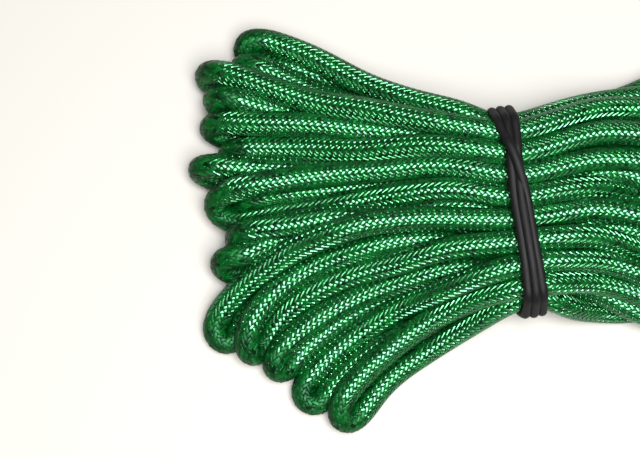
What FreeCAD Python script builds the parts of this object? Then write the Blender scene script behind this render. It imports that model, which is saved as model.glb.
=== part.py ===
"""Hank of thin braided accessory cord, folded to and fro and tied at its waist with a rubber band.

The cord is a sheath over seven core strands. Its wound part is one closed solid, the outer shape
of the hank: a narrow waist with a fan of bights on each side. Its two free ends lie on the ground
past the right fan, and there the sheath, each core strand and the melted tip are separate solids.
Millimetres, +Z up, +X from the left fan to the free ends. Shapes are drawn about the middle of the
waist on the ground, and the whole part is moved at the end so that its box's bottom centre is 0.
"""

import FreeCAD, Part
import math
import os

# Cord: a sheath of braided yarn over parallel core strands.
CORD_D = 4.0
SHEATH_WALL = 0.7
CORE_RING_STRANDS = 6  # round one middle strand
STRAND_GAP = 0.02  # between neighbouring strands, and between them and the sheath
TIP_D = 3.8  # a melted tip draws in a little
TIP_LENGTH = 2.4

# Waist of the hank, where the band grips it.
WAIST_HALF_WIDTH = 14.3
WAIST_LAYERS = 4.0
WAIST_CORNER_R = 6.0

# Rubber band, one loop wound round the waist side by side.
BAND_STRAND_D = 1.5
BAND_TURNS = 3
BAND_PITCH = 1.42  # between neighbouring turns, which press into each other
BAND_TILT = 8.7  # degrees from square across the hank
BAND_CLEARANCE = 0.35
BAND_TRAVEL = 1.5  # along the waist, each way

# How far the fans reach from the band, and how wide they spread to each side.
LEFT_REACH = 52.6
RIGHT_REACH = 52.2
FAN_HIGH = 29.3
FAN_LOW = 35.4

# Free ends: where each leaves the right fan, as shares of the reach and of the spread to its side,
# and the rest of its route on the ground, from there.
TAIL_EXIT_SHARE = 0.967
TAILS = {
    "tail_a": (0.80, [(8.0, 0.0), (16.0, -3.5), (21.0, -10.0), (22.0, -18.0)]),
    "tail_b": (-0.395, [(8.5, 0.0), (16.5, -3.0), (22.0, -9.5)]),
}

# Sections along each fan, from next to the waist outwards: share of the reach, shares of the
# spread to the low and high side, and how many layers of cord lie there.
LEFT_SECTIONS = [
    (0.27, 0.68, 0.62, 3.3),
    (0.46, 0.94, 0.77, 2.8),
    (0.68, 1.06, 0.965, 2.4),
    (0.87, 1.12, 1.04, 2.2),
    (1.04, 1.18, 1.08, 2.1),
]
RIGHT_SECTIONS = [
    (0.25, 0.47, 0.70, 3.3),
    (0.43, 0.52, 0.80, 2.8),
    (0.68, 0.60, 0.91, 2.4),
    (1.04, 0.68, 1.00, 2.1),
]

# Bights at the left end, from the high side round to the low side: how far each stands out, as a
# share of its width, and the notch after it, as shares of the reach and of the spread to that side.
LEFT_START = (-0.70, 1.05)
LEFT_BIGHTS = [
    (0.20, (-0.882, 0.83)),
    (0.48, (-0.958, 0.70)),
    (0.36, (-0.932, 0.55)),
    (0.38, (-0.932, 0.36)),
    (0.45, (-0.955, 0.16)),
    (0.32, (-0.894, -0.085)),
    (0.33, (-0.911, -0.32)),
    (0.26, (-0.835, -0.67)),
    (0.16, (-0.779, -0.73)),
    (0.22, (-0.681, -0.76)),
    (0.32, (-0.589, -0.92)),
    (0.30, (-0.456, -0.96)),
]
LEFT_END = (-0.42, -1.15)

# Bights at the right end, from the low side round to the high side. One with no notch ends at the
# flat wall where the next free end leaves.
RIGHT_START = (0.86, -0.80)
RIGHT_BIGHTS = [
    (0.30, (0.945, -0.585)),
    (0.33, None),
    (0.36, (0.955, -0.21)),
    (0.40, (0.963, -0.085)),
    (0.34, (0.950, 0.05)),
    (0.38, (0.960, 0.20)),
    (0.36, (0.955, 0.35)),
    (0.42, (0.965, 0.50)),
    (0.38, (0.950, 0.62)),
    (0.34, None),
    (0.30, (0.905, 0.99)),
]
RIGHT_END = (0.86, 1.15)

LAYER_RISE = math.sqrt(3) / 2  # each further layer lies in the grooves of the one below
CORNER_SHARE = 0.4  # a fan's corner radius over its height
GROUND_DEPTH = 3.0  # the fans are drawn this far into the ground, then cut level with it
FACET_MARGIN = 0.4  # flat wall on each side of a free end, where it leaves the fan

CORD_R = CORD_D / 2
BAND_R = BAND_STRAND_D / 2
WAIST_LOW = 0.1 + BAND_STRAND_D + BAND_CLEARANCE


def vector(x, y, z=0.0):
    return FreeCAD.Vector(x, y, z)


def layers_height(layers):
    """Height of this many layers of cord, each lying in the grooves of the one below."""
    return CORD_D * (1 + LAYER_RISE * (layers - 1))


WAIST_HEIGHT = layers_height(WAIST_LAYERS)
WAIST_TOP = WAIST_LOW + WAIST_HEIGHT
TILT = math.radians(BAND_TILT)
BAND_HALF_WIDTH = BAND_R + BAND_PITCH * (BAND_TURNS - 1) / 2
# A tilted band crosses the waist on the slant, so it needs this much more room at each side.
SLANT_ROOM = WAIST_HALF_WIDTH * (1 / math.cos(TILT) - 1) + BAND_HALF_WIDTH * math.tan(TILT)
BAND_HALF_SPAN = WAIST_HALF_WIDTH + SLANT_ROOM + BAND_CLEARANCE + BAND_STRAND_D
WAIST_HALF_LENGTH = (
    BAND_HALF_SPAN * math.sin(TILT) + BAND_HALF_WIDTH * math.cos(TILT) + BAND_TRAVEL + BAND_CLEARANCE
)


def arc(start, middle, end):
    return Part.Arc(start, middle, end).toShape()


def line(start, end):
    return Part.LineSegment(start, end).toShape()


def rounded_section(x, y_low, y_high, z_low, z_high, radius):
    """Upright rectangle across the hank at x, its four corners rounded."""
    rounds = []
    for out_y, out_z in ((1, 1), (-1, 1), (-1, -1), (1, -1)):
        y = y_high if out_y > 0 else y_low
        z = z_high if out_z > 0 else z_low
        cy = y - out_y * radius
        cz = z - out_z * radius
        ends = [vector(x, cy + out_y * radius, cz), vector(x, cy, cz + out_z * radius)]
        if out_y * out_z < 0:
            ends.reverse()
        slant = radius / math.sqrt(2)
        rounds.append((ends[0], vector(x, cy + out_y * slant, cz + out_z * slant), ends[1]))
    edges = []
    for i, (start, middle, end) in enumerate(rounds):
        edges.append(arc(start, middle, end))
        edges.append(line(end, rounds[(i + 1) % len(rounds)][0]))
    return Part.Wire(edges)


def waist_section(x):
    return rounded_section(x, -WAIST_HALF_WIDTH, WAIST_HALF_WIDTH, WAIST_LOW, WAIST_TOP, WAIST_CORNER_R)


def fan(sections, reach, sign):
    """Smooth body from the waist through a fan's sections, past its last bight."""
    wires = [waist_section(sign * WAIST_HALF_LENGTH)]
    for share, low, high, layers in sections:
        x = sign * share * reach
        top = layers_height(layers)
        wires.append(
            rounded_section(x, -low * FAN_LOW, high * FAN_HIGH, -GROUND_DEPTH, top, CORNER_SHARE * top)
        )
    return Part.makeLoft(wires, True, False)


def plan_point(share_x, share_y, reach):
    return vector(share_x * reach, share_y * (FAN_HIGH if share_y > 0 else FAN_LOW))


def tail_exit(share_y):
    """Where a free end leaves the right fan, in plan."""
    return plan_point(TAIL_EXIT_SHARE, share_y, RIGHT_REACH)


def bights_edges(start, bights, reach, exits):
    """Outline of a fan's end: an arc over each bight, and a flat wall where a free end leaves."""
    edges = []
    here = start
    exits = iter(exits)
    half_wall = vector(0, CORD_R + FACET_MARGIN)
    for bulge, notch_shares in bights:
        leaves_here = notch_shares is None
        middle = next(exits) if leaves_here else None
        notch = middle - half_wall if leaves_here else plan_point(*notch_shares, reach)
        along = notch - here
        outward = vector(along.y, -along.x)
        edges.append(arc(here, here + along * 0.5 + outward * bulge, notch))
        here = notch
        if leaves_here:
            here = middle + half_wall
            edges.append(line(notch, here))
    return edges, here


def make_hank():
    """Outer shape of the wound cord: a waist between two fans, level underneath, lobed at both ends."""
    waist_face = Part.Face(waist_section(-WAIST_HALF_LENGTH))
    waist = waist_face.extrude(vector(2 * WAIST_HALF_LENGTH, 0))
    left = fan(LEFT_SECTIONS, LEFT_REACH, -1)
    right = fan(RIGHT_SECTIONS, RIGHT_REACH, 1)
    body = waist.fuse([left, right])

    left_start = plan_point(*LEFT_START, LEFT_REACH)
    left_end = plan_point(*LEFT_END, LEFT_REACH)
    right_start = plan_point(*RIGHT_START, RIGHT_REACH)
    right_end = plan_point(*RIGHT_END, RIGHT_REACH)
    exits = sorted((tail_exit(share) for share, _ in TAILS.values()), key=lambda point: point.y)
    left_edges, left_last = bights_edges(left_start, LEFT_BIGHTS, LEFT_REACH, [])
    right_edges, right_last = bights_edges(right_start, RIGHT_BIGHTS, RIGHT_REACH, exits)
    outline = left_edges + [line(left_last, left_end), line(left_end, right_start)]
    outline += right_edges + [line(right_last, right_end), line(right_end, left_start)]
    plan = Part.Face(Part.Wire(Part.__sortEdges__(outline)))
    return body.common(plan.extrude(vector(0, 0, WAIST_TOP + CORD_D)))


def band_profile():
    """Section of the band: round turns side by side that press into each other."""
    half = BAND_PITCH / 2
    crease = math.sqrt(BAND_R**2 - half**2)
    centres = [BAND_PITCH * (i - (BAND_TURNS - 1) / 2) for i in range(BAND_TURNS)]
    edges = []
    for side in (1, -1):
        for u in centres[1:-1]:
            start = vector(u - half, 0, side * crease)
            end = vector(u + half, 0, side * crease)
            edges.append(arc(start, vector(u, 0, side * BAND_R), end))
    for u, out in ((centres[0], -1), (centres[-1], 1)):
        inner = u - out * half
        outermost = vector(u + out * BAND_R, 0, 0)
        edges.append(arc(vector(inner, 0, crease), outermost, vector(inner, 0, -crease)))
    return Part.Face(Part.Wire(Part.__sortEdges__(edges)))


def make_band():
    """The band's turns round the waist: its profile carried along four straights and four corners."""
    offset = BAND_CLEARANCE + BAND_R
    corner_r = WAIST_CORNER_R + offset
    straight_y = 2 * (WAIST_HALF_WIDTH + SLANT_ROOM - WAIST_CORNER_R)
    straight_z = WAIST_HEIGHT - 2 * WAIST_CORNER_R
    middle_z = WAIST_LOW + WAIST_HEIGHT / 2
    profile = band_profile()
    quarters = []
    for quarter, length in enumerate((straight_y, straight_z, straight_y, straight_z)):
        rise = (straight_z if quarter % 2 == 0 else straight_y) / 2 + corner_r
        face = profile.copy()
        face.translate(vector(0, -length / 2, rise))
        run = face.extrude(vector(0, length, 0))
        face.translate(vector(0, length, 0))
        corner = face.revolve(vector(0, length / 2, rise - corner_r), vector(1, 0, 0), -90)
        for piece in (run, corner):
            piece.rotate(vector(0, 0), vector(1, 0, 0), -90 * quarter)
            quarters.append(piece)
    band = quarters[0].fuse(quarters[1:]).removeSplitter()
    band.translate(vector(0, 0, middle_z))
    band.rotate(vector(0, 0), vector(0, 0, 1), BAND_TILT)
    return band


def cord_path(points, side=0.0, rise=0.0):
    """Straight runs joined by tangent arcs, moved sideways to the left by side and up by rise.

    Each arc's radius is 0.45 of its shorter run over the tangent of half the turn.
    """
    left = [vector(a.y - b.y, b.x - a.x).normalize() for a, b in zip(points, points[1:])]
    edges = []
    radii = []
    here = points[0] + left[0] * side
    for before, corner, after, n_in, n_out in zip(points, points[1:], points[2:], left, left[1:]):
        run_in = corner - before
        run_out = after - corner
        reach = 0.45 * min(run_in.Length, run_out.Length)
        turn = run_in.getAngle(run_out)
        radius = reach / math.tan(turn / 2)
        radii.append(radius)
        start = corner - run_in.normalize() * reach
        end = corner + run_out.normalize() * reach
        inward = 1 if n_in.dot(run_out) > 0 else -1
        centre = start + n_in * (inward * radius)
        n_middle = (n_in + n_out).normalize()
        middle = centre - n_middle * (inward * radius)
        first, second, third = start + n_in * side, middle + n_middle * side, end + n_out * side
        edges += [line(here, first), arc(first, second, third)]
        here = third
    edges.append(line(here, points[-1] + left[-1] * side))
    path = Part.Wire(edges)
    path.translate(vector(0, 0, rise))
    return path, radii


def round_tube(path, radius):
    """Round solid along a path, square to it at both ends."""
    first = path.Edges[0]
    start = first.valueAt(first.FirstParameter)
    heading = first.tangentAt(first.FirstParameter)
    section = Part.Wire(Part.makeCircle(radius, start, heading))
    return path.makePipeShell([section], True, False)


def make_tail(name, exit_share, steps):
    """One free end: sheath, core strands and melted tip, lying on the ground."""
    start = tail_exit(exit_share) + vector(0, 0, CORD_R)
    points = [start] + [start + vector(*step) for step in steps]
    path, radii = cord_path(points)
    bore_r = CORD_R - SHEATH_WALL
    strand_r = (bore_r - 2 * STRAND_GAP) / 3
    ring_r = bore_r - STRAND_GAP - strand_r
    pieces = {f"{name}_sheath": round_tube(path, CORD_R).cut(round_tube(path, bore_r))}
    pieces[f"{name}_core_strand_1"] = round_tube(path, strand_r)
    for i in range(CORE_RING_STRANDS):
        angle = 2 * math.pi * i / CORE_RING_STRANDS
        strand_path, _ = cord_path(points, ring_r * math.cos(angle), ring_r * math.sin(angle))
        pieces[f"{name}_core_strand_{i + 2}"] = round_tube(strand_path, strand_r)

    tip_r = TIP_D / 2
    heading = points[-1] - points[-2]
    tip = Part.makeCylinder(tip_r, TIP_LENGTH, points[-1], heading)
    far = points[-1] + heading.normalize() * TIP_LENGTH
    rim = [edge for edge in tip.Edges if (edge.BoundBox.Center - far).Length < 0.1]
    pieces[f"{name}_melted_tip"] = tip.makeFillet(0.6 * tip_r, rim)

    expected = math.pi * (CORD_R**2 - bore_r**2) * path.Length
    volume = pieces[f"{name}_sheath"].Volume
    print(name, "length %.1f mm" % path.Length, "radii", [round(r, 1) for r in radii])
    print(name, "sheath volume %.2f, section times length %.2f" % (volume, expected))
    return pieces


def make_part():
    pieces = {"cord_hank": make_hank(), "rubber_band": make_band()}
    for name, (exit_share, steps) in TAILS.items():
        pieces.update(make_tail(name, exit_share, steps))
    box = FreeCAD.BoundBox()
    for shape in pieces.values():
        box.add(shape.optimalBoundingBox(False))
    to_frame = vector(-box.Center.x, -box.Center.y, -box.ZMin)
    for shape in pieces.values():
        shape.translate(to_frame)
    print("moved by", to_frame, "box", box)
    return pieces


def main():
    os.makedirs("parts", exist_ok=True)
    for name, shape in make_part().items():
        solids = shape.Solids
        if len(solids) != 1 or not shape.isValid():
            raise ValueError(f"{name} is not one valid solid: {len(solids)} found")
        solids[0].exportStep(f"parts/{name}.step")
        print(name, "volume %.2f" % shape.Volume)


main()
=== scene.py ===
import math

import bpy
import numpy as np
from bpy.props import FloatProperty, FloatVectorProperty, IntProperty, PointerProperty
from mathutils import Matrix, Vector


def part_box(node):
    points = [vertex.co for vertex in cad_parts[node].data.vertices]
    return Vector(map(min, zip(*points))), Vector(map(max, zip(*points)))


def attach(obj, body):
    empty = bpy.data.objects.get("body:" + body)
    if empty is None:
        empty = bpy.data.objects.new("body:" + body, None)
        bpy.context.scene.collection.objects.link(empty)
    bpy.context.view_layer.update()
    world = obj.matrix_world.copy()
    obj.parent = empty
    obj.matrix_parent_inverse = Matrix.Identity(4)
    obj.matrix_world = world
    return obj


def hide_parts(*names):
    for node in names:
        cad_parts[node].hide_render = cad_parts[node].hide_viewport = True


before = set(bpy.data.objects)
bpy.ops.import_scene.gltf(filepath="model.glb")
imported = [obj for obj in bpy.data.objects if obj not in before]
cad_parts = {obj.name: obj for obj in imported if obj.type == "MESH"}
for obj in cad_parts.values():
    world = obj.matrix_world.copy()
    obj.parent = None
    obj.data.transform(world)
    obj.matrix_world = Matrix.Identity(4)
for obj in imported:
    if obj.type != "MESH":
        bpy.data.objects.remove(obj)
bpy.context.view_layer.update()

bl_info = {
    "name": "Banded cord hank",
    "version": (1, 0, 0),
    "blender": (4, 5, 0),
    "location": "View3D > Sidebar > Hank",
    "description": "A flat hank of thin braided cord, folded to and fro and held by a rubber band",
    "category": "Object",
}

BAND_LOW, BAND_HIGH = (np.array(corner) * 1000 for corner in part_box("rubber_band"))
# Middle of the waist on the ground, in millimetres. The cord's route is written about it.
WAIST_MIDDLE = np.array([(BAND_LOW[0] + BAND_HIGH[0]) / 2, (BAND_LOW[1] + BAND_HIGH[1]) / 2, 0.0])
BAND_TILT = math.radians(8.7)
TAILS = ("tail_a", "tail_b")
TAIL_EXIT_A = (50.48, 23.44, 2.0)
TAIL_EXIT_B = (50.48, -13.98, 2.0)
TAIL_A = [(8.0, 0.0), (16.0, -3.5), (21.0, -10.0), (22.0, -18.0)]
TAIL_B = [(8.5, 0.0), (16.5, -3.0), (22.0, -9.5)]


# -------- the cord's route

# One entry for each bight at the left end, from the high side to the low side, in millimetres.
# out: the run from the waist to the bight, as (x, y). tip: round the bight, as (x, y, z).
# back: the run below it, from the bight to the waist. waist: (y, z) of both runs under the band.
# right: y of both runs 13 mm to the right of the band. hold: how firmly the run below keeps its
# place across the ground while the cord settles, 0.1 if not given.
LEFT_BIGHTS = [
    dict(out=[(-9.4, 16.2), (-15.8, 17.8), (-22.2, 20.3), (-28.6, 24.1), (-35, 27.4), (-39.4, 28.8)],
         tip=[(-43.2, 28.2, 5.2), (-44.4, 26.4, 3.4)],
         back=[(-41.5, 24.4), (-35, 23.2), (-25, 19.5), (-15, 16.0), (-9.4, 13.6)],
         waist=((13.4, 10.8), (10.8, 3.9)), right=(18.2, 14.5)),
    dict(out=[(-9.4, 14.3), (-15.8, 15.8), (-22.2, 17.3), (-27, 18.2), (-31.8, 19.7), (-36.6, 22.2),
              (-40.6, 23.9)],
         tip=[(-44.0, 25.2, 5.0), (-45.0, 25.0, 3.2)],
         back=[(-42, 23.6), (-36, 20.4), (-25, 16.5), (-15, 12.8), (-9.4, 10.4)],
         waist=((12.6, 7.2), (7.4, 3.9)), right=(17.2, 12.0)),
    dict(out=[(-9.4, 12.8), (-15.8, 14.2), (-22.2, 15.7), (-28.6, 16.8), (-35, 18.9), (-39.8, 20.7),
              (-44.6, 22.4)],
         tip=[(-49.8, 24.0, 5.0), (-51.0, 23.8, 3.2)],
         back=[(-46, 20.6), (-38, 18.6), (-26, 15.2), (-15, 11.4), (-9.4, 8.8)],
         waist=((11.6, 14.2), (5.4, 7.0)), right=(16.0, 9.6)),
    dict(out=[(-9.4, 11.6), (-15.8, 12.6), (-22, 13.5), (-28.6, 14.6), (-35, 16.3), (-41.4, 17.8)],
         tip=[(-48.4, 19.6, 5.2), (-49.6, 19.3, 3.2)],
         back=[(-45, 18.2), (-37, 15.2), (-26, 11.8), (-15, 8.4), (-9.4, 6.4)],
         waist=((9.2, 7.2), (3.7, 3.7)), right=(14.2, 7.4)),
    dict(out=[(-9.4, 11.5), (-15.8, 12.3), (-22.2, 13.1), (-27, 13.8), (-31.8, 14.2), (-38.2, 14.6),
              (-43, 14.9)],
         tip=[(-48.8, 15.0, 5.2), (-50.0, 14.6, 3.2)],
         back=[(-45, 12.8), (-36, 11.6), (-26, 8.6), (-15, 5.6), (-9.4, 4.0)],
         waist=((9.8, 10.8), (1.8, 7.0)), right=(13.0, 5.0)),
    dict(out=[(-9.4, 9.6), (-15.8, 9.8), (-22.2, 9.8), (-28.6, 10.0), (-35, 10.6), (-39.8, 10.7)],
         tip=[(-46, 10.4, 4.6), (-47, 10.2, 2.9)],
         back=[(-43.5, 9.8), (-36, 8.4), (-26, 5.6), (-15, 2.8), (-9.4, 1.6)],
         waist=((8.2, 14.2), (0.0, 3.7)), right=(12.5, 2.8)),
    dict(out=[(-9.4, 8.0), (-19, 8.2), (-25.4, 7.8), (-30.2, 7.2), (-35, 7.2), (-39.8, 7.6), (-44.6, 7.9)],
         tip=[(-50.6, 7.9, 5.0), (-51.8, 7.7, 3.2)],
         back=[(-46.5, 6.2), (-38, 4.8), (-27, 3.0), (-15, 0.8), (-9.4, -0.4)],
         waist=((6.4, 10.8), (-1.8, 7.0)), right=(10.4, 0.6)),
    dict(out=[(-9.4, 7.2), (-15.8, 7.0), (-22.2, 6.9), (-28.6, 6.2), (-35, 5.4), (-41.4, 4.0), (-44.6, 3.7)],
         tip=[(-48.2, 3.0, 5.6), (-49.0, 1.6, 4.4), (-47.0, 0.0, 3.0)],
         back=[(-43.8, -0.6), (-39.8, 0.3), (-35, 1.0), (-28.6, 1.8), (-22.2, 2.2), (-15.8, 2.6),
               (-9.4, 3.2)],
         waist=((5.0, 14.4), (1.6, 14.4)), right=(8.3, 4.2), hold=0.5),
    dict(out=[(-9.4, 5.3), (-15.8, 5.0), (-22.2, 4.8), (-28.6, 4.0), (-35, 3.7), (-40.4, 3.0)],
         tip=[(-44.2, 1.6, 4.6), (-45.0, 1.0, 2.9)],
         back=[(-42, 1.2), (-35, 0.6), (-26, -0.4), (-15, -1.8), (-9.4, -2.6)],
         waist=((3.0, 11.0), (-3.7, 3.7)), right=(6.3, -1.8)),
    dict(out=[(-9.4, 0.5), (-15.8, 0), (-22.2, -0.8), (-28.6, -1.3), (-35, -2.2), (-41, -3.0)],
         tip=[(-44.6, -4.2, 4.6), (-45.4, -4.8, 2.9)],
         back=[(-42.5, -5.0), (-36, -4.6), (-26, -4.4), (-15, -4.2), (-9.4, -4.4)],
         waist=((-0.4, 10.8), (-5.4, 7.0)), right=(2.2, -4.0)),
    dict(out=[(-9.4, -0.8), (-15.8, -1.2), (-22, -1.8), (-28.6, -2.4), (-35, -3.4), (-39.8, -4.3),
              (-43.8, -5.1)],
         tip=[(-46.8, -6.0, 5.6), (-47.8, -7.8, 4.2), (-46.4, -9.4, 2.6)],
         back=[(-43, -9.2), (-37, -7.9), (-28, -6.6), (-15, -5.8), (-9.4, -5.9)],
         waist=((-3.8, 10.8), (-7.2, 3.7)), right=(-0.8, -6.0), hold=0.5),
    dict(out=[(-12.6, -1.3), (-19, -1.8), (-25.4, -2.4), (-30.2, -3.5), (-35, -5.4), (-39.8, -8.3),
              (-43.8, -11.7), (-46.5, -14.7)],
         tip=[(-48.2, -17.8, 6.0), (-47.4, -20.3, 4.4), (-45.6, -21.0, 2.8)],
         back=[(-44.8, -18.8), (-43.8, -16.2), (-41.2, -13.6), (-37.2, -11.2), (-31, -9.2), (-20, -7.4),
               (-10, -7.2)],
         waist=((-1.9, 14.4), (-9.0, 7.0)), right=(0.3, -8.0), hold=0.5),
    dict(out=[(-12.6, -4.3), (-19, -5.1), (-25.4, -6.2), (-28.6, -7.2), (-31.8, -8.3), (-35, -9.9),
              (-38.2, -12.3), (-40.7, -15.0), (-42.5, -18.2)],
         tip=[(-43.1, -21.1, 5.6), (-42.0, -23.2, 4.2), (-40.4, -22.8, 2.8)],
         back=[(-39.4, -19.6), (-37.8, -16.3), (-35, -13.9), (-31.8, -12.2), (-28.6, -10.7), (-25.4, -9.4),
               (-22.2, -8.5), (-19, -7.5), (-12.6, -6.1)],
         waist=((-7.2, 10.8), (-5.4, 14.4)), right=(-2.1, -4.2), hold=0.5),
    dict(out=[(-7.8, -8.3), (-12.6, -9.8), (-17.4, -10.7), (-20.6, -11.7), (-23.8, -12.8), (-27, -14.2),
              (-30.2, -16), (-33.4, -18.1), (-36.6, -20.6)],
         tip=[(-38.8, -23.2, 5.6), (-38.9, -24.9, 4.2), (-37.5, -25.4, 2.8)],
         back=[(-36.2, -24.2), (-33.6, -21.4), (-30.2, -18.6), (-25, -15.0), (-18, -12.2), (-9.4, -9.6)],
         waist=((-10.4, 10.8), (-10.8, 3.9)), right=(-6.0, -10.2), hold=0.5),
    dict(out=[(-6.2, -10.4), (-11, -11.7), (-14.2, -12.8), (-17.4, -14.4), (-20.6, -16), (-23.8, -17.8),
              (-27, -19.8), (-30.2, -22.6), (-32.6, -25.4)],
         tip=[(-34.2, -28.2, 5.6), (-33.4, -30.1, 4.2), (-31.8, -30.4, 2.8)],
         back=[(-30.2, -28.6), (-28.2, -25.8), (-25, -23.4), (-20.6, -20.2), (-15, -17.0), (-9.4, -14.2)],
         waist=((-8.9, 14.2), (-12.6, 7.2)), right=(-8.0, -12.4), hold=0.5),
    dict(out=[(-6.2, -13.8), (-11, -15.7), (-14.2, -17.4), (-19, -20.8), (-22.5, -23.7), (-25.4, -26.7)],
         tip=[(-27.8, -29.9, 6.0), (-28.4, -32.3, 5.0), (-27.2, -33.6, 3.6), (-25.7, -33, 2.6)],
         back=[(-24.5, -31.1), (-22.3, -28.3), (-19.3, -25.4), (-14.2, -22.1), (-9.4, -19.0), (-4.6, -16.4)],
         waist=((-12.2, 13.4), (-13.4, 9.6)), right=(-11.2, -14.7), hold=0.5),
]
# The bights at the right end, from the high side to the low side: (y, reach).
RIGHT_BIGHTS = [
    (27.2, 49.5), (19.9, 46.5), (16.7, 50.2), (13.6, 47.0), (10.5, 50.3), (7.4, 46.8), (4.3, 50.4),
    (1.2, 47.2), (-1.8, 50.2), (-4.8, 46.6), (-7.8, 50.0), (-10.6, 46.4), (-17.0, 49.6), (-20.0, 46.4),
    (-22.6, 48.0),
]
# Heights of a back run 13, 19.4 and 30 mm to the right of the band, where it crosses others.
RIGHT_HEIGHTS = {14: (6.5, 5.8, 5.8), 15: (3.5, 2.0, 2.0)}
FIRM_BACK_RUNS = (7, 12, 15)  # back runs in view to the right of the band
GROUND_RUN = 2.0  # height of a run that lies on the ground
UPPER_RUN = 6.2  # height of a run that lies on another

BEAD_STEP = 2.5  # between beads of the settling chain, in millimetres
SINK = 0.06  # of a bead in the first step, in millimetres
RETURN = 0.16  # share of the way back to its own place that a firmly held bead takes in a step
UNKINK, UNBEND = 0.24, 0.012  # shares of the kink and of the bend taken out in a step
TAUTEN = 0.18  # share of a link's excess length by which each of its ends moves in a step
PART, SPREAD = 0.35, 1.6  # share of an overlap that a push takes out, and the gain on a bead's mean push
LINE_STEP = 0.0008  # between points of the finished line, in metres
STITCH_RELIEF = 0.00023  # height of a stitch over the body, in metres
BODY_INSET = 0.00022  # of the body's surface under the cord's, in metres
BODY_SIDES = 12
CORD_REACH = 1.93  # radius of the cord under the band, in millimetres
BAND_TURNS = 3
BAND_SIDES = 14
BAND_ACROSS = np.array([math.cos(BAND_TILT), math.sin(BAND_TILT), 0.0])
# How far apart the band's turns lie on top, as shares of the pitch, at places across the waist.
BAND_NEARNESS = ([-16, -13, -6, 2, 8, 14, 16.5], [1.0, 0.66, 0.70, 0.56, 0.82, 0.9, 1.0])


def slope_height(x, waist, fan):
    """Height at x of a run that is at waist up to 4 mm from the band and at fan from 30 mm on.

    Between them the height changes in a straight line.
    """
    share = min(max((abs(x) - 4) / 26, 0), 1)
    return waist + (fan - waist) * share


def wound_route():
    """Rows x, y, z, hold of the wound cord, from the first free end's exit to the second one's.

    Each left bight gives its out run, read from the right end over the waist to the bight, the
    bight, and its back run, read from the bight under the waist to the right end, where the next
    right bight turns the cord up and round into the next out run.
    """
    rows = [(*TAIL_EXIT_A, 1.0)]
    crossings = (13, 19.4, 30)
    for k, bight in enumerate(LEFT_BIGHTS):
        (out_y, out_z), (back_y, back_z) = bight["waist"]
        out_right, back_right = bight["right"]
        far_y, far_z = (RIGHT_BIGHTS[k - 1][0] - 0.3, UPPER_RUN) if k else (TAIL_EXIT_A[1], GROUND_RUN)
        rows += [
            (44, far_y, far_z, 0.3),
            (30, out_right + (far_y - out_right) * 0.55, slope_height(30, out_z, UPPER_RUN), 0.15),
            (19.4, out_right + (far_y - out_right) * 0.16, slope_height(19.4, out_z, UPPER_RUN), 0.4),
            (13, out_right, slope_height(13, out_z, UPPER_RUN), 0.4),
            (5, out_y + (out_right - out_y) * 0.45, out_z, 0.3),
            (0, out_y, out_z, 0.3),
        ]
        rows += [(x, y, slope_height(x, out_z, UPPER_RUN), 0.5) for x, y in bight["out"]]
        rows += [(x, y, z, 0.5) for x, y, z in bight["tip"]]
        rows += [(x, y, slope_height(x, back_z, GROUND_RUN), bight.get("hold", 0.1)) for x, y in bight["back"]]
        far_y = RIGHT_BIGHTS[k][0] if k < len(RIGHT_BIGHTS) else TAIL_EXIT_B[1]
        hold = 0.5 if k in FIRM_BACK_RUNS else 0.15
        heights = RIGHT_HEIGHTS.get(k, [slope_height(x, back_z, GROUND_RUN) for x in crossings])
        rows += [
            (0, back_y, back_z, 0.3),
            (5, back_y + (back_right - back_y) * 0.45, back_z, hold),
            (13, back_right, heights[0], hold),
            (19.4, back_right + (far_y - back_right) * 0.16, heights[1], hold),
            (30, back_right + (far_y - back_right) * 0.55, heights[2], 0.15),
            (44, far_y, GROUND_RUN, 0.3),
        ]
        if k < len(RIGHT_BIGHTS):
            reach = RIGHT_BIGHTS[k][1]
            rows += [(reach - 2, far_y, GROUND_RUN, 0.4), (reach, far_y - 0.1, 3.2, 0.4),
                     (reach, far_y - 0.2, 5.0, 0.4), (reach - 2, far_y - 0.3, UPPER_RUN, 0.4)]
    rows.append((*TAIL_EXIT_B, 1.0))
    return np.array(rows, dtype=float)


def beads(rows, step):
    """Beads one step apart along the rows, x, y, z and hold interpolated between them."""
    lengths = np.linalg.norm(np.diff(rows[:, :3], axis=0), axis=1)
    along = np.r_[0, np.cumsum(lengths)]
    places = np.linspace(0, along[-1], int(round(along[-1] / step)) + 1)
    return np.stack([np.interp(places, along, column) for column in rows.T], axis=1)


def closest(p, i, j):
    """Shares s, t, the vector and the distance between the closest points of segments i and j.

    s is where the two straight lines come closest, t the closest place to it on segment j, and s
    again the closest place to that on segment i, each kept between 0 and 1.
    """
    a, b = p[i], p[j]
    u, v, w = p[i + 1] - a, p[j + 1] - b, a - b
    uu, uv, vv, uw, vw = ((m * n).sum(1) for m, n in ((u, u), (u, v), (v, v), (u, w), (v, w)))
    s = np.clip((uv * vw - vv * uw) / np.maximum(uu * vv - uv * uv, 1e-9), 0, 1)
    t = np.clip((uv * s + vw) / np.maximum(vv, 1e-9), 0, 1)
    s = np.clip((uv * t - uw) / np.maximum(uu, 1e-9), 0, 1)
    gap = w + u * s[:, None] - v * t[:, None]
    return s, t, gap, np.linalg.norm(gap, axis=1)


def neighbours(p, reach):
    """Pairs of segments whose middles are within reach, three or more apart along the cord."""
    middles = (p[1:] + p[:-1]) / 2
    i, j = np.triu_indices(len(middles), 3)
    for axis in (0, 1):
        near = np.abs(middles[i, axis] - middles[j, axis]) < reach
        i, j = i[near], j[near]
    near = ((middles[i] - middles[j]) ** 2).sum(1) < reach ** 2
    return i[near], j[near]


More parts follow.
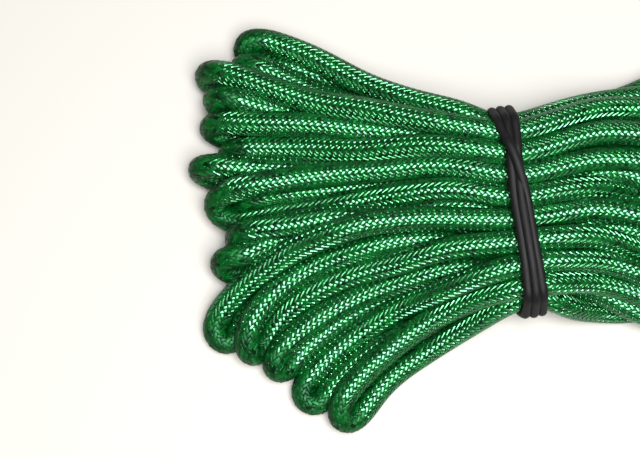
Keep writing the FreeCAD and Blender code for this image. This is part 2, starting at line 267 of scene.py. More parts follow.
def grip_waist(p, pitch):
    """Moves the beads within 4.2 mm of the band's plane into the opening that the band leaves.

    The opening is a rectangle with round corners, wider by 0.36 mm for each millimetre further
    than 0.8 mm from the plane. A bead's overshoot is how far it lies past the centre of the
    nearest corner in y and in z, and the bead moves back by what that exceeds the corner's radius.
    """
    away = np.abs(p[:, 0] + math.tan(BAND_TILT) * p[:, 1])
    gripped = away < 4.2
    half = 15.2 - pitch / 2 + 0.36 * np.maximum(away[gripped] - 0.8, 0)
    low, high, corner = 2.0 + pitch / 2, 16.2 - pitch / 2, 4.6
    middle, tall = (low + high) / 2, (high - low) / 2
    y, z = p[gripped, 1], p[gripped, 2]
    over_y = np.maximum(np.abs(y) - (half - corner), 0)
    over_z = np.maximum(np.abs(z - middle) - (tall - corner), 0)
    reach = np.maximum(np.hypot(over_y, over_z), 1e-6)
    back = np.maximum(reach - corner, 0) / reach
    p[gripped, 1] -= np.sign(y) * over_y * back
    p[gripped, 2] -= np.sign(z - middle) * over_z * back


def settle(start, hold, pitch, steps):
    """Lets a chain of beads sink until it lies on the ground and on itself.

    Each step lowers every bead by SINK, less and less to nothing at the last step, and draws it
    across the ground towards its own place by RETURN times its hold. A bead's bend is the mean of
    its two neighbours less its own place, and its kink is its bend less the mean of theirs; UNKINK
    of the kink and UNBEND of the bend are added to its place. Each link's ends move together by
    TAUTEN of what it is too long. Then, twice, any two links nearer than the pitch are pushed
    apart along the line between their closest points by PART of what they lack, shared by where
    that point lies on the link, and a bead moves by SPREAD times the mean of its pushes. Last,
    beads by the band are gripped, and all are kept on the ground. Beads held by over 0.9 stay.
    """
    p, links = start.copy(), np.linalg.norm(np.diff(start, axis=0), axis=1)
    fixed = hold > 0.9
    for step in range(steps):
        if step % 8 == 0:
            i, j = neighbours(p, pitch + 3.0)
        p[:, 2] -= SINK * (1 - step / steps)
        p[:, :2] += (start[:, :2] - p[:, :2]) * hold[:, None] * RETURN
        bend = np.zeros_like(p)
        bend[1:-1] = (p[:-2] + p[2:]) / 2 - p[1:-1]
        kink = np.zeros_like(p)
        kink[2:-2] = bend[2:-2] - (bend[1:-3] + bend[3:-1]) / 2
        p += UNKINK * kink + UNBEND * bend
        link = np.diff(p, axis=0)
        long = np.linalg.norm(link, axis=1)
        pull = ((long - links) / np.maximum(long, 1e-6) * TAUTEN)[:, None] * link
        p[:-1] += pull
        p[1:] -= pull
        for _ in range(2):
            s, t, gap, apart = closest(p, i, j)
            hit = apart < pitch
            s, t, gap, apart, a, b = s[hit], t[hit], gap[hit], apart[hit], i[hit], j[hit]
            push = ((pitch - apart) * PART / np.maximum(apart, 1e-6))[:, None] * gap
            move, count = np.zeros_like(p), np.zeros(len(p))
            for bead, share, way in ((a, 1 - s, 1), (a + 1, s, 1), (b, 1 - t, -1), (b + 1, t, -1)):
                np.add.at(move, bead, way * push * share[:, None])
                np.add.at(count, bead, share > 0.01)
            p += move / np.maximum(count, 1)[:, None] * SPREAD
        grip_waist(p, pitch)
        p[:, 2] = np.maximum(p[:, 2], GROUND_RUN)
        p[fixed] = start[fixed]
    return p


# -------- lines, frames and meshes

def curve_line(points, order=3, resolution=3):
    """Points of the NURBS spline that has these control points, in metres."""
    curve = bpy.data.curves.new("cord_line", "CURVE")
    curve.dimensions = "3D"
    spline = curve.splines.new("NURBS")
    spline.points.add(len(points) - 1)
    spline.points.foreach_set("co", np.c_[points, np.ones(len(points))].ravel())
    spline.order_u = order
    spline.use_endpoint_u = True
    spline.resolution_u = resolution
    line = bpy.data.objects.new("cord_line", curve)
    bpy.context.scene.collection.objects.link(line)
    bpy.context.view_layer.update()
    mesh = bpy.data.meshes.new_from_object(line.evaluated_get(bpy.context.evaluated_depsgraph_get()))
    co = np.empty(len(mesh.vertices) * 3)
    mesh.vertices.foreach_get("co", co)
    bpy.data.meshes.remove(mesh)
    bpy.data.objects.remove(line)
    bpy.data.curves.remove(curve)
    return co.reshape(-1, 3)


def even_line(line, step):
    """The line's points again, one step apart along it, with the distance along it of each."""
    along = np.r_[0, np.cumsum(np.linalg.norm(np.diff(line, axis=0), axis=1))]
    places = np.linspace(0, along[-1], int(round(along[-1] / step)) + 1)
    return np.stack([np.interp(places, along, column) for column in line.T], axis=1), places


def line_frames(line, places):
    """Direction, two cross directions without twist, and the curvature vector, at each point.

    The direction is the line's first difference, and the curvature vector its change for each
    metre. The first cross direction starts as the part of a fixed slanting vector square to the
    line, turned back by the sum of its own twist along the line.
    """
    ahead = np.gradient(line, places, axis=0)
    ahead /= np.linalg.norm(ahead, axis=1)[:, None]
    turn = np.gradient(ahead, places, axis=0)
    slant = np.array([0.0, 0.7071, -0.7071])
    side = slant - (ahead @ slant)[:, None] * ahead
    side /= np.linalg.norm(side, axis=1)[:, None]
    other = np.cross(ahead, side)
    twist = (np.gradient(side, places, axis=0) * other).sum(1)
    angle = -np.r_[0, np.cumsum((twist[1:] + twist[:-1]) / 2 * np.diff(places))]
    c, s = np.cos(angle)[:, None], np.sin(angle)[:, None]
    return ahead, c * side + s * other, c * other - s * side, turn


def around(cord, at, angle, radius):
    """Points at this distance along the cord, angle round it and radius from its middle line.

    point = line + radius * (cos(angle) * side + sin(angle) * other). On the inner side of a tight
    fold the part of the offset towards the middle of the fold is held to 0.8 of the fold's own
    radius, as the cord flattens there and doesn't pass through itself. No point lies lower than
    0.01 mm above the ground.
    """
    shape = at.shape
    at = at.ravel()
    take = lambda field: np.stack([np.interp(at, cord["places"], field[:, k]) for k in range(3)], axis=1)
    line, side, other, turn = (take(cord[name]) for name in ("line", "side", "other", "turn"))
    side /= np.linalg.norm(side, axis=1)[:, None]
    other /= np.linalg.norm(other, axis=1)[:, None]
    angle, radius = angle.ravel()[:, None], radius.ravel()[:, None]
    radius = radius * np.interp(at, cord["places"], cord["swell"])[:, None]
    offset = radius * (np.cos(angle) * side + np.sin(angle) * other)
    bend = np.linalg.norm(turn, axis=1)[:, None]
    inward = turn / np.maximum(bend, 1e-6)
    depth = (offset * inward).sum(1)[:, None]
    limit = 0.8 / np.maximum(bend, 1e-6)
    offset -= inward * np.maximum(depth - limit, 0)
    points = line + offset
    points[:, 2] = np.maximum(points[:, 2], 0.00001)
    return points.reshape(*shape, 3)


def make_mesh(name, points, faces, materials, smooth=None, uv=None, tone_and_painted_shade=None, picks=None):
    """A mesh object from whole arrays: points (n, 3), faces as a list of (m, corners) arrays."""
    mesh = bpy.data.meshes.new(name)
    counts = np.concatenate([np.full(len(f), f.shape[1]) for f in faces])
    corners = np.concatenate([f.ravel() for f in faces]).astype(np.int32)
    mesh.vertices.add(len(points))
    mesh.vertices.foreach_set("co", np.ascontiguousarray(points, dtype=np.float32).ravel())
    mesh.loops.add(len(corners))
    mesh.loops.foreach_set("vertex_index", corners)
    mesh.polygons.add(len(counts))
    mesh.polygons.foreach_set("loop_start", np.r_[0, np.cumsum(counts)[:-1]].astype(np.int32))
    mesh.update(calc_edges=True)
    mesh.polygons.foreach_set("use_smooth", np.ones(len(counts), bool) if smooth is None else smooth)
    if uv is not None:
        layer = mesh.uv_layers.new(name="along")
        layer.data.foreach_set("uv", uv[corners].astype(np.float32).ravel())
    if tone_and_painted_shade is not None:
        # The stitches' random tone with painted shading at their edges.
        mesh.attributes.new("tone_and_painted_shade", "FLOAT", "POINT").data.foreach_set("value", tone_and_painted_shade.astype(np.float32))
    mesh.validate()
    mesh.update()
    obj = bpy.data.objects.new(name, mesh)
    bpy.context.scene.collection.objects.link(obj)
    for material in materials:
        mesh.materials.append(material)
    if picks is not None:
        mesh.polygons.foreach_set("material_index", picks.astype(np.int32))
    return obj


def grid_faces(rows, columns, close=False):
    """Four-cornered faces between neighbouring rows of a grid, round its columns if closed."""
    index = np.arange(rows * columns).reshape(rows, columns)
    after = np.roll(index, -1, axis=1) if close else index[:, 1:]
    here = index if close else index[:, :-1]
    return np.stack([here[:-1], after[:-1], after[1:], here[1:]], axis=-1).reshape(-1, 4)


# -------- finishes

def new_material(name):
    """A material with nodes, and the inputs of its shader."""
    material = bpy.data.materials.new(name)
    material.use_nodes = True
    return material, shader_inputs(material)


def shader_inputs(material):
    return next(node for node in material.node_tree.nodes if node.type == "BSDF_PRINCIPLED").inputs


def add_node(material, kind, **values):
    """A shader node of this kind with its properties or inputs set by name."""
    node = material.node_tree.nodes.new("ShaderNode" + kind)
    for key, value in values.items():
        if key in node.inputs:
            node.inputs[key].default_value = value
        else:
            setattr(node, key, value)
    return node


def join(material, source, target):
    material.node_tree.links.new(source, target)


def object_noise(material, **values):
    """Noise over the piece's own coordinates in metres."""
    place = add_node(material, "TexCoord")
    noise = add_node(material, "TexNoise", **values)
    join(material, place.outputs["Object"], noise.inputs["Vector"])
    return noise.outputs["Fac"]


def drawn_noise(material, scale, **values):
    """Noise over the piece's own map, finer across the yarn or strand than along it."""
    uv = add_node(material, "UVMap", uv_map="along")
    stretch = add_node(material, "Mapping", vector_type="POINT")
    stretch.inputs["Scale"].default_value = scale
    noise = add_node(material, "TexNoise", Scale=1.0, **values)
    join(material, uv.outputs["UV"], stretch.inputs["Vector"])
    join(material, stretch.outputs["Vector"], noise.inputs["Vector"])
    return noise.outputs["Fac"]


def ramped(material, source, stops):
    """The colours of the stops, blended between their places by the source's value."""
    ramp = add_node(material, "ValToRGB")
    elements = ramp.color_ramp.elements
    while len(elements) < len(stops):
        elements.new(0.5)
    for element, (place, colour) in zip(elements, stops):
        element.position = place
        element.color = (*colour, 1)
    join(material, source, ramp.inputs["Fac"])
    return ramp.outputs["Color"]


def multiplied(material, first, second, share):
    """The first colour, darkened by a share of its product with the second."""
    mix = add_node(material, "Mix", data_type="RGBA", blend_type="MULTIPLY")
    mix.inputs["Factor"].default_value = share
    join(material, first, mix.inputs["A"])
    join(material, second, mix.inputs["B"])
    return mix.outputs["Result"]


def add_gloss(material, source, low, high):
    """Roughness from low to high as the source's value rises from 0 to 1."""
    gloss = add_node(material, "MapRange")
    gloss.inputs["To Min"].default_value = low
    gloss.inputs["To Max"].default_value = high
    join(material, source, gloss.inputs["Value"])
    join(material, gloss.outputs["Result"], shader_inputs(material)["Roughness"])


def add_bump(material, source, strength, distance):
    """Raises the surface by up to a distance in metres where the source's value is high."""
    bump = add_node(material, "Bump", Strength=strength, Distance=distance)
    join(material, source, bump.inputs["Height"])
    join(material, bump.outputs["Normal"], shader_inputs(material)["Normal"])


def tinted(colour, share):
    """The colour with each part times the share, and at most 1."""
    return tuple(min(c * share, 1) for c in colour)


def yarn_finish(settings, name, smoothest, roughest, shine):
    """Silky nylon yarn: random tone by stitch with painted shading at its edges, fibres along each stitch, and
    a close, tight shine.
    """
    material, shader = new_material(name)
    green = tuple(settings.yarn_colour)
    tone_and_painted_shade = add_node(material, "Attribute", attribute_name="tone_and_painted_shade").outputs["Fac"]
    fibre = drawn_noise(material, (0.9, 11.0, 1.0), Detail=3.0, Roughness=0.6)
    # Painted shading: the lowest values, at the stitches' edges, turn the green nearly black.
    stitch = ramped(material, tone_and_painted_shade, [(0.0, tinted(green, 0.10)), (0.5, green), (1.0, tinted(green, 1.6))])
    tone = ramped(material, fibre, [(0.3, (0.55, 0.55, 0.55)), (0.7, (1.0, 1.0, 1.0))])
    join(material, multiplied(material, stitch, tone, 0.45), shader["Base Color"])
    add_gloss(material, fibre, smoothest, roughest)
    add_bump(material, fibre, 0.35, 0.00004)
    shader["IOR"].default_value = 1.7
    shader["Specular IOR Level"].default_value = shine
    shader["Specular Tint"].default_value = (0.30, 1.0, 0.50, 1)
    shader["Anisotropic"].default_value = 0.5
    shader["Anisotropic Rotation"].default_value = 0.25
    tangent = add_node(material, "Tangent", direction_type="UV_MAP", uv_map="along")
    join(material, tangent.outputs["Tangent"], shader["Tangent"])
    return material


def shadow_finish(settings):
    """Painted shading for the yarn deep between the stitches: its green darkened to nearly black, mottled."""
    material, shader = new_material("painted_shading_between_stitches")
    green = tuple(settings.yarn_colour)
    noise = object_noise(material, Scale=2200.0, Detail=2.0)
    # Painted shading: the yarn's green darkened to 6 to 18 percent, nearly black.
    colour = ramped(material, noise, [(0.35, tinted(green, 0.06)), (0.65, tinted(green, 0.18))])
    join(material, colour, shader["Base Color"])
    add_bump(material, noise, 0.4, 0.00005)
    shader["Roughness"].default_value = 0.75
    shader["Specular IOR Level"].default_value = 0.0
    return material


def melted_finish(settings):
    """Nylon melted together: dark glossy green with brown patches and small blisters."""
    material, shader = new_material("melted_nylon")
    green = tuple(settings.yarn_colour)
    brown = (0.015, 0.012, 0.008)
    noise = object_noise(material, Scale=900.0, Detail=4.0)
    colour = ramped(material, noise, [(0.35, brown), (0.55, tinted(green, 0.35)), (0.8, tinted(green, 0.6))])
    join(material, colour, shader["Base Color"])
    add_bump(material, noise, 0.5, 0.00015)
    add_gloss(material, noise, 0.12, 0.42)
    return material


def rubber_finish(settings):
    """Old black rubber: dusty grey bloom in patches, fine draw lines along the strand."""
    material, shader = new_material("band_rubber")
    black = tuple(settings.rubber_colour)
    bloom = object_noise(material, Scale=420.0, Detail=5.0, Roughness=0.65)
    lines = drawn_noise(material, (0.35, 9.0, 1.0), Detail=3.0)
    patches = ramped(material, bloom, [(0.38, black), (0.72, tinted(black, 2.6))])
    tone = ramped(material, lines, [(0.35, (0.45, 0.43, 0.48)), (0.65, (1.0, 1.0, 1.0))])
    join(material, multiplied(material, patches, tone, 0.5), shader["Base Color"])
    add_gloss(material, bloom, 0.5, 0.75)
    shader["Specular IOR Level"].default_value = 0.2
    add_bump(material, lines, 0.4, 0.00006)
    return material


def paper_finish(settings):
    """Pale matt table top, a little uneven in tone."""
    material, shader = new_material("pale_table")
    pale = tuple(settings.floor_colour)
    noise = object_noise(material, Scale=6.0, Detail=2.0)
    colour = ramped(material, noise, [(0.3, tinted(pale, 0.97)), (0.7, pale)])
    join(material, colour, shader["Base Color"])
    shader["Roughness"].default_value = 0.6
    return material


# -------- settings

class CordSettings(bpy.types.PropertyGroup):
    diameter: FloatProperty(
        name="Diameter", description="Diameter of the cord, over the yarn",
        default=0.004, min=0.002, max=0.008, subtype="DISTANCE", unit="LENGTH")
    pressed_pitch: FloatProperty(
        name="Pressed pitch", description="Distance between the middles of two runs that press on each other",
        default=0.0035, min=0.002, max=0.008, subtype="DISTANCE", unit="LENGTH")
    lay_length: FloatProperty(
        name="Lay length", description="Length in which one carrier goes once round the cord",
        default=0.0165, min=0.008, max=0.04, subtype="DISTANCE", unit="LENGTH")
    columns: IntProperty(
        name="Stitch columns", description="Columns of stitches round the sheath",
        default=16, min=8, max=24)
    settle_steps: IntProperty(
        name="Settling steps", description="Steps in which the wound cord sinks into place",
        default=500, min=50, max=2000)
    yarn_colour: FloatVectorProperty(
        name="Yarn", description="Colour of the sheath's yarn",
        default=(0.0001, 0.060, 0.0070), min=0, max=1, size=3, subtype="COLOR")


class BandSettings(bpy.types.PropertyGroup):
    strand: FloatProperty(
        name="Strand", description="Thickness of the rubber band's strand",
        default=0.0015, min=0.0005, max=0.004, subtype="DISTANCE", unit="LENGTH")
    pitch: FloatProperty(
        name="Pitch", description="Distance between neighbouring turns of the band",
        default=0.00142, min=0.0005, max=0.004, subtype="DISTANCE", unit="LENGTH")
    rubber_colour: FloatVectorProperty(
        name="Rubber", description="Colour of the rubber",
        default=(0.0018, 0.0016, 0.0021), min=0, max=1, size=3, subtype="COLOR")


class StageSettings(bpy.types.PropertyGroup):
    camera_height: FloatProperty(
        name="Camera angle", description="Angle of the camera's view above the ground",
        default=math.radians(82), subtype="ANGLE", unit="ROTATION")
    camera_distance: FloatProperty(
        name="Camera distance", description="From the camera to the hank",
        default=0.2417, subtype="DISTANCE", unit="LENGTH")
    floor_colour: FloatVectorProperty(
        name="Floor", description="Colour of the floor",
        default=(0.318, 0.311, 0.291), min=0, max=1, size=3, subtype="COLOR")


# -------- pieces

MADE = {}


def lay_cord(settings):
    """The whole cord's middle line in metres with its frames, from one free end to the other.

    swell is the share of its radius that the cord has: 0.965 up to 8 mm from the waist's middle,
    rising by a smooth step to 1.08 at 36 mm, and 1 beyond the right end, from 46 to 52 mm in a
    straight line. fold rises from 0 to 1 as the curvature, averaged over seven points, goes from
    90 to 230 for each metre.
    """
    pitch = settings.pressed_pitch * 1000
    wound = beads(wound_route(), BEAD_STEP)
    wound = settle(wound[:, :3], wound[:, 3], pitch, settings.settle_steps)
    start = [(TAIL_EXIT_A[0] + x, TAIL_EXIT_A[1] + y, GROUND_RUN) for x, y in reversed(TAIL_A)]
    end = [(TAIL_EXIT_B[0] + x, TAIL_EXIT_B[1] + y, GROUND_RUN) for x, y in TAIL_B]
    points = np.concatenate([np.array(start), wound, np.array(end)]) + WAIST_MIDDLE
    line, places = even_line(curve_line(points / 1000), LINE_STEP)
    ahead, side, other, turn = line_frames(line, places)
    from_waist = line[:, 0] - WAIST_MIDDLE[0] / 1000
    loose = np.clip((np.abs(from_waist) - 0.008) / 0.028, 0, 1)
    beyond = np.clip((from_waist - 0.046) / 0.006, 0, 1)
    swell = 0.965 + 0.115 * loose * loose * (3 - 2 * loose)
    swell = swell + (1.0 - swell) * beyond
    turning = np.linalg.norm(np.gradient(ahead, axis=0), axis=1) / np.gradient(places)
    fold = np.clip((np.convolve(turning, np.ones(7) / 7, "same") - 90) / 140, 0, 1)
    return dict(line=line, places=places, ahead=ahead, side=side, other=other, turn=turn, wound=wound,
                swell=swell, fold=fold)


def cord_body(cord, radius, material):
    """The body under the yarn, made dark by its finish as painted shading between the stitches: a tube along
    the cord, closed flat at both ends.

    Its rings lie 1 mm apart, each with corners at even angles at the radius from the line.
    """
    ring = np.arange(BODY_SIDES) * 2 * np.pi / BODY_SIDES
    at = np.linspace(0, cord["places"][-1], int(cord["places"][-1] / 0.001))
    points = around(cord, *np.broadcast_arrays(at[:, None], ring[None, :], np.array(radius)))
    last = (len(at) - 1) * BODY_SIDES
    caps = np.array([np.arange(BODY_SIDES)[::-1], last + np.arange(BODY_SIDES)])
    sides = grid_faces(len(at), BODY_SIDES, close=True)
    return make_mesh("cord_body", points.reshape(-1, 3), [sides, caps], [material])


def sheath_stitches(cord, settings, low, high, name, materials):
    """The stitches of yarn between two distances along the cord.

    The sheath is braided two over, two under, so its face shows columns of slanting stitches,
    one column leaning one way and the next the other. The stitch in column c and row r has its
    middle at angle 2 pi c / columns and at distance (r + 1/4) * lay / columns, half a row further
    in every other column. On a grid of u along the stitch and v across it, both from -1 to 1, a
    point lies half a length times u along the yarn and half a width times v across it. Its height
    is relief * (1 - 1.25 |u|^5) * (1 - v^4), so that both ends dip under the stitches that cross,
    and half of that in a tight fold. Its colour value is the stitch's own random tone less
    0.36 u^2 + 0.46 v^2: painted shading that darkens each stitch towards its edges, where it meets
    the stitches beside it.
    Stitches in tight folds take the second material, with a random margin at the fold's ends.
    """
    radius, lay, columns = settings.diameter / 2, settings.lay_length, settings.columns
    row_pitch = lay / columns
    rows = np.arange(int(low / row_pitch), int(high / row_pitch))
    column, row = (grid.ravel() for grid in np.meshgrid(np.arange(columns), rows))
    middle = (row + 0.5 * (column % 2) + 0.25) * row_pitch
    kept = middle < cord["places"][-1]
    column, middle = column[kept, None], middle[kept, None]
    lean = np.where(column % 2, 1.0, -1.0)
    slant = math.atan2(2 * math.pi * radius, lay)
    half_long, half_wide = 0.86 * row_pitch, 0.39 * row_pitch
    u, v = np.meshgrid([-1.0, -0.62, 0.62, 1.0], [-1.0, -0.52, 0.52, 1.0], indexing="ij")
    u, v = u.ravel(), v.ravel()
    along = half_long * u * math.cos(slant) - half_wide * v * math.sin(slant)
    across = half_long * u * math.sin(slant) + half_wide * v * math.cos(slant)
    at = np.clip(middle + along, 0, cord["places"][-1])
    angle = 2 * np.pi * column / columns + lean * across / radius
    fold = np.interp(at, cord["places"], cord["fold"])
    height = STITCH_RELIEF * (1 - 1.25 * np.abs(u) ** 5) * (1 - np.abs(v) ** 4) * (1 - 0.5 * fold)
    points = around(cord, at, angle, radius - STITCH_RELIEF + height)
    count = len(column)
    first = np.arange(count)[:, None] * len(u)
    quads = grid_faces(4, 4)
    quads = first[:, None] + np.where(lean[:, None] > 0, quads, quads[:, ::-1])
    rim = np.array([0, 1, 2, 3, 7, 11, 15, 14, 13, 12, 8, 4])
    under = first + np.where(lean > 0, rim[::-1], rim)
    chance = np.random.default_rng(int(low * 1e5) + 7)
    tone = np.clip(0.5 + 0.16 * chance.standard_normal(count), 0, 1)
    # Painted shading: each stitch's random tone is darkened towards its edges, where it meets the stitches
    # beside it.
    tone_and_painted_shade = (tone[:, None] - 0.36 * u ** 2 - 0.46 * v ** 2).clip(0, 1).ravel()
    shift = chance.uniform(0, 40, (count, 1, 2))
    uv = np.stack([half_long * 1000 * u, half_wide * 1000 * v], axis=-1) + shift
    smooth = np.r_[np.tile([False, True, False], count * 3), np.zeros(count, bool)]
    folded = np.interp(middle.ravel(), cord["places"], cord["fold"])
    folded = folded + 0.7 * (chance.random(count) - 0.5) > 0.5
    return make_mesh(name, points.reshape(-1, 3), [quads.reshape(-1, 4), under], materials, smooth,
                     uv.reshape(-1, 2), tone_and_painted_shade, np.r_[np.repeat(folded, 9), folded])


class HANK_OT_cord(bpy.types.Operator):
    """Lays the cord as a hank, and makes its body and the stitches of its sheath"""
    bl_idname = "hank.cord"
    bl_label = "Cord"

    def execute(self, context):
        settings = context.scene.hank_cord
        cord = lay_cord(settings)
        MADE["cord"] = cord
        length = float(cord["places"][-1])
        body = cord_body(cord, settings.diameter / 2 - BODY_INSET, shadow_finish(settings))
        yarn = [yarn_finish(settings, "braided_yarn", 0.16, 0.32, 1.0),
                yarn_finish(settings, "folded_yarn", 0.34, 0.50, 0.22)]
        turns = len(LEFT_BIGHTS)
        ends = np.linspace(0, length, turns + 1)
        stitches = [sheath_stitches(cord, settings, ends[k], ends[k + 1] if k < turns - 1 else length,
                                    f"sheath_turn_{k + 1:02d}", yarn) for k in range(turns)]
        MADE["sheath"], MADE["body"] = stitches, body
        for piece in [body, *stitches]:
            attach(piece, "hank")
        strands = [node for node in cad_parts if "_core_strand_" in node]
        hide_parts("cord_hank", *[f"{tail}_sheath" for tail in TAILS], *strands)
        return {"FINISHED"}


def melted_tip(cord, name, at_start, material):
    """A melted tip: rings round the cord's end that swell a little and close to a low dome.

    At share t of its length and angle a the radius is 1.82 mm * (1 + 0.04 sin(2 pi t)) times the
    lobes 1 + 0.035 sin(5a + 7t) + 0.02 sin(11a - 5t), times 0.02 + 0.98 c. c is 1, and over the
    last third the square root of 1 - (3t - 2)^2.4.
    """
    end = 0 if at_start else len(cord["line"]) - 1
    way = -cord["ahead"][0] if at_start else cord["ahead"][-1]
    side, other = cord["side"][end], cord["other"][end]
    rings, sides = 25, 48
    t, ring = np.meshgrid(np.linspace(0, 1, rings), np.arange(sides) * 2 * np.pi / sides, indexing="ij")
    close = np.sqrt(np.clip(1 - np.clip(3 * t - 2, 0, 1) ** 2.4, 0, 1))
    lobes = 1 + 0.035 * np.sin(5 * ring + 7 * t) + 0.02 * np.sin(11 * ring - 5 * t)
    radius = 0.00182 * (1 + 0.04 * np.sin(2 * np.pi * t)) * lobes * (0.02 + 0.98 * close)
    start = cord["line"][end] - way * 0.0022
    points = start + way * (t[..., None] * 0.0024) + radius[..., None] * (
        np.cos(ring)[..., None] * side + np.sin(ring)[..., None] * other)
    faces = grid_faces(rings, sides, close=True)
    caps = np.array([np.arange(sides)[::-1], (rings - 1) * sides + np.arange(sides)])
    if at_start:
        faces, caps = faces[:, ::-1], caps[:, ::-1]
    return make_mesh(name, points.reshape(-1, 3), [faces, caps], [material])


class HANK_OT_tips(bpy.types.Operator):
    """Makes the melted tips of the cord's two free ends"""
    bl_idname = "hank.tips"
    bl_label = "Melted tips"

    def execute(self, context):
        settings, cord = context.scene.hank_cord, MADE["cord"]
        material = melted_finish(settings)
        for tail, at_start in zip(TAILS, (True, False)):
            tip = melted_tip(cord, f"{tail}_tip", at_start, material)
            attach(tip, "hank")
            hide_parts(f"{tail}_melted_tip")
        return {"FINISHED"}


def waist_outline(wound, reach, count=360):
    """Outline that a taut band takes round the runs under it, in its own slanting plane.

    The points c are where the runs cross the plane, and the beads within 1.6 mm of it. In
    direction a the band touches the one that lies furthest out, and its middle is there at
    c + reach * (cos a, sin a). The steps between these arcs are straight, and the outline is read
    again at even distances along it.
    """
    distance = wound[:, 0] * math.cos(BAND_TILT) + wound[:, 1] * math.sin(BAND_TILT)
    cross = np.nonzero(distance[:-1] * distance[1:] <= 0)[0]
    share = (distance[cross] / (distance[cross] - distance[cross + 1]))[:, None]
    at = wound[cross] * (1 - share) + wound[cross + 1] * share
    at = np.concatenate([at, wound[np.abs(distance) < 1.6]])
    flat = np.stack([at[:, 1] / math.cos(BAND_TILT), at[:, 2]], axis=1)
    angle = np.linspace(0, 2 * np.pi, 2880, endpoint=False)
    ray = np.stack([np.cos(angle), np.sin(angle)], axis=1)
    touch = flat[(ray @ flat.T).argmax(axis=1)] + reach * ray
    closed = np.vstack([touch, touch[:1]])
    along = np.r_[0, np.cumsum(np.linalg.norm(np.diff(closed, axis=0), axis=1))]
    places = np.linspace(0, along[-1], count, endpoint=False)
    return np.stack([np.interp(places, along, closed[:, k]) for k in (0, 1)], axis=1)


def band_path(outline, pitch):
    """Middle line of the band's strand, three times round the waist's outline, in millimetres.

    A turn starts at the bottom and goes up on the side where y is above 0, over the top, down on
    the other side and back. Each turn changes its place across the band, from before to after, by
    a smooth step of a share that rises from 0 to 1 as y falls from 14.4 to -0.6 on top; under the
    waist the share is 0 on the way up and 1 on the way down. A place of 1 is one pitch aside,
    times near, by which the turns lie closer together on top, averaged over 61 points. The first
    turn crosses over the others, lifted by 1.25 mm * sin(pi * share), and where the others lie
    close the middle one of them is lifted by 1.6 mm * (1 - near) * (1 - |place|). Lifts are away
    from the outline's middle, with heights counted 2.2 times. Last, each point becomes the mean
    of itself and its two neighbours.
    """
    count = len(outline)
    centre = outline.mean(axis=0)
    step = np.tile(np.arange(count), BAND_TURNS)
    y, z = np.tile(outline, (BAND_TURNS, 1)).T
    on_top = z > centre[1]
    before = np.repeat([-1.0, 1.0, 0.0], count)
    after = np.repeat([1.0, 0.0, -1.0], count)
    below = np.where((step < count // 2 + 40) & (y > 0) | (step < count // 4), 0.0, 1.0)
    share = np.where(on_top, np.clip((14.4 - y) / 15.0, 0, 1), below)
    share = share * share * (3 - 2 * share)
    near = np.where(on_top, np.interp(y, *BAND_NEARNESS), 1.0)
    near = np.convolve(np.r_[near[-30:], near, near[:30]], np.ones(61) / 61, "valid")
    place = before + (after - before) * share
    over = np.repeat([True, False, False], count)
    lift = np.where(over, 1.25 * np.sin(np.pi * share), 0.0)
    lift += 1.6 * (1 - near) * (1 - np.abs(place)).clip(0, 1) * ~over
    outward = np.stack([y - centre[0], 2.2 * (z - centre[1])], axis=1)
    outward /= np.linalg.norm(outward, axis=1)[:, None]
    flat = np.stack([y, z], axis=1) + outward * lift[:, None]
    along_waist = np.array([-math.sin(BAND_TILT), math.cos(BAND_TILT), 0.0])
    path = flat[:, :1] * along_waist + flat[:, 1:] * np.array([0, 0, 1.0])
    path += (pitch * near * place)[:, None] * BAND_ACROSS
    return (path + np.roll(path, 1, axis=0) + np.roll(path, -1, axis=0)) / 3


def band_strand(path, strand, material):
    """The band's strand: a closed tube along the path, 0.9 as thick outwards as it is wide.

    A corner at angle a lies at path + strand / 2 * (cos(a) * side + 0.9 sin(a) * out). side is the
    direction across the band made square to the path, and out is square to both.
    """
    ahead = np.roll(path, -1, axis=0) - np.roll(path, 1, axis=0)
    ahead /= np.linalg.norm(ahead, axis=1)[:, None]
    side = BAND_ACROSS - (ahead @ BAND_ACROSS)[:, None] * ahead
    side /= np.linalg.norm(side, axis=1)[:, None]
    out = np.cross(ahead, side)
    ring = np.arange(BAND_SIDES) * 2 * np.pi / BAND_SIDES
    corners = np.cos(ring)[:, None] * side[:, None] + 0.9 * np.sin(ring)[:, None] * out[:, None]
    points = (path[:, None] + strand / 2 * corners + WAIST_MIDDLE) / 1000
    index = np.arange(len(path) * BAND_SIDES).reshape(len(path), BAND_SIDES)
    right = np.roll(index, -1, axis=1)
    faces = np.stack([index, right, np.roll(right, -1, axis=0), np.roll(index, -1, axis=0)], axis=-1)
    length = np.r_[0, np.cumsum(np.linalg.norm(np.diff(path, axis=0), axis=1))]
    uv = np.stack(np.broadcast_arrays(length[:, None], np.abs(ring - np.pi)[None, :] * 0.75), axis=-1)
    return make_mesh("band_loop", points.reshape(-1, 3), [faces.reshape(-1, 4)], [material],
                     uv=uv.reshape(-1, 2))


class HANK_OT_band(bpy.types.Operator):
    """Makes the rubber band, one loop wound three times round the waist, crossing itself on top"""
    bl_idname = "hank.band"
    bl_label = "Rubber band"

    def execute(self, context):
        settings = context.scene.hank_band
        strand, pitch = settings.strand * 1000, settings.pitch * 1000
        outline = waist_outline(MADE["cord"]["wound"], CORD_REACH + strand / 2)
        lowest = np.argmin(outline[:, 1] + 0.2 * np.abs(outline[:, 0]))
        path = band_path(np.roll(outline, -int(lowest), axis=0), pitch)
        band = band_strand(path, strand, rubber_finish(settings))
        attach(band, "band")
        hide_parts("rubber_band")
        return {"FINISHED"}


def aimed(name, data, place, aim):
    """A lamp or camera at a place, looking at a point."""
    obj = bpy.data.objects.new(name, data)
    turn = (aim - place).to_track_quat("-Z", "Y").to_matrix().to_4x4()
    obj.matrix_world = Matrix.Translation(place) @ turn
    bpy.context.scene.collection.objects.link(obj)
    return obj


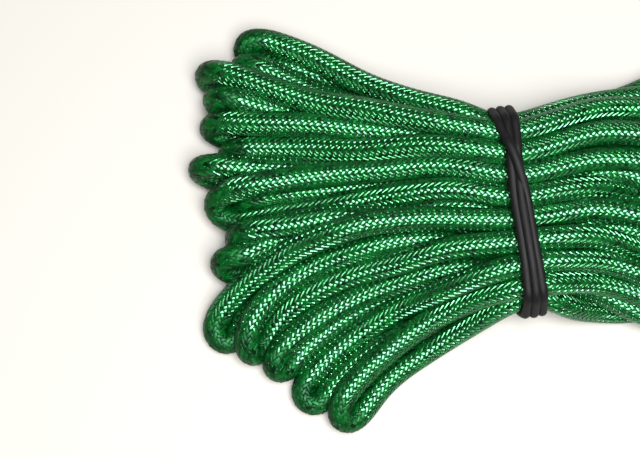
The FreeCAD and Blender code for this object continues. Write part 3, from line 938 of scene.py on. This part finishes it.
def area_light(name, place, aim, size, energy, colour):
    """A round, soft lamp: its diameter in metres and its energy in watts."""
    light = bpy.data.lights.new(name, "AREA")
    light.shape, light.size, light.energy, light.color = "DISK", size, energy, colour
    return aimed(name, light, place, aim)


class HANK_OT_stage(bpy.types.Operator):
    """Makes the floor, the soft light and the camera"""
    bl_idname = "hank.stage"
    bl_label = "Stage"

    def execute(self, context):
        settings = context.scene.hank_stage
        # The floor is flat: a grid of u and v, both from -2 to 2 m, at height 0.
        u, v = np.meshgrid(np.linspace(-2, 2, 9), np.linspace(-2, 2, 9), indexing="ij")
        points = np.stack([u, v, np.zeros_like(u)], axis=-1).reshape(-1, 3)
        floor = make_mesh("table_top", points, [grid_faces(9, 9)[:, ::-1]], [paper_finish(settings)])
        world = bpy.data.worlds.new("studio")
        world.use_nodes = True
        background = world.node_tree.nodes["Background"]
        background.inputs["Color"].default_value = (1.0, 0.99, 0.97, 1)
        background.inputs["Strength"].default_value = 0.10
        context.scene.world = world
        context.scene.view_settings.view_transform = "Standard"
        middle = Vector(WAIST_MIDDLE / 1000)
        window, ceiling = middle + Vector((0.08, -0.15, 0.50)), middle + Vector((0.02, -0.01, 0.56))
        area_light("window_light", window, middle, 0.36, 5.4, (1.0, 0.985, 0.955))
        area_light("ceiling_light", ceiling, middle, 0.26, 4.5, (1.0, 1.0, 1.0))
        camera = bpy.data.cameras.new("camera")
        camera.lens, camera.sensor_width = 85.0, 36.0
        camera.clip_start, camera.clip_end = 0.01, 20.0
        look = middle + Vector((-0.0311, -0.0024, 0.007))
        high = settings.camera_height
        place = look + settings.camera_distance * Vector((0, -math.cos(high), math.sin(high)))
        context.scene.camera = aimed("camera", camera, place, look)
        return {"FINISHED"}


class HANK_PT_panel(bpy.types.Panel):
    """Lists the hank's settings and its pieces"""
    bl_idname = "HANK_PT_panel"
    bl_label = "Hank of cord"
    bl_space_type = "VIEW_3D"
    bl_region_type = "UI"
    bl_category = "Hank"

    def draw(self, context):
        for settings in (context.scene.hank_cord, context.scene.hank_band, context.scene.hank_stage):
            box = self.layout.box()
            for name in settings.__annotations__:
                box.prop(settings, name)
        for operator in OPERATORS:
            self.layout.operator(operator.bl_idname)


OPERATORS = (HANK_OT_stage, HANK_OT_cord, HANK_OT_tips, HANK_OT_band)
CLASSES = (CordSettings, BandSettings, StageSettings, *OPERATORS, HANK_PT_panel)


def register():
    for cls in CLASSES:
        bpy.utils.register_class(cls)
    bpy.types.Scene.hank_cord = PointerProperty(type=CordSettings)
    bpy.types.Scene.hank_band = PointerProperty(type=BandSettings)
    bpy.types.Scene.hank_stage = PointerProperty(type=StageSettings)


def unregister():
    for name in ("hank_cord", "hank_band", "hank_stage"):
        delattr(bpy.types.Scene, name)
    for cls in reversed(CLASSES):
        bpy.utils.unregister_class(cls)


def main():
    register()
    bpy.ops.hank.stage()
    bpy.ops.hank.cord()
    bpy.ops.hank.tips()
    bpy.ops.hank.band()


if __name__ == "__main__":
    main()
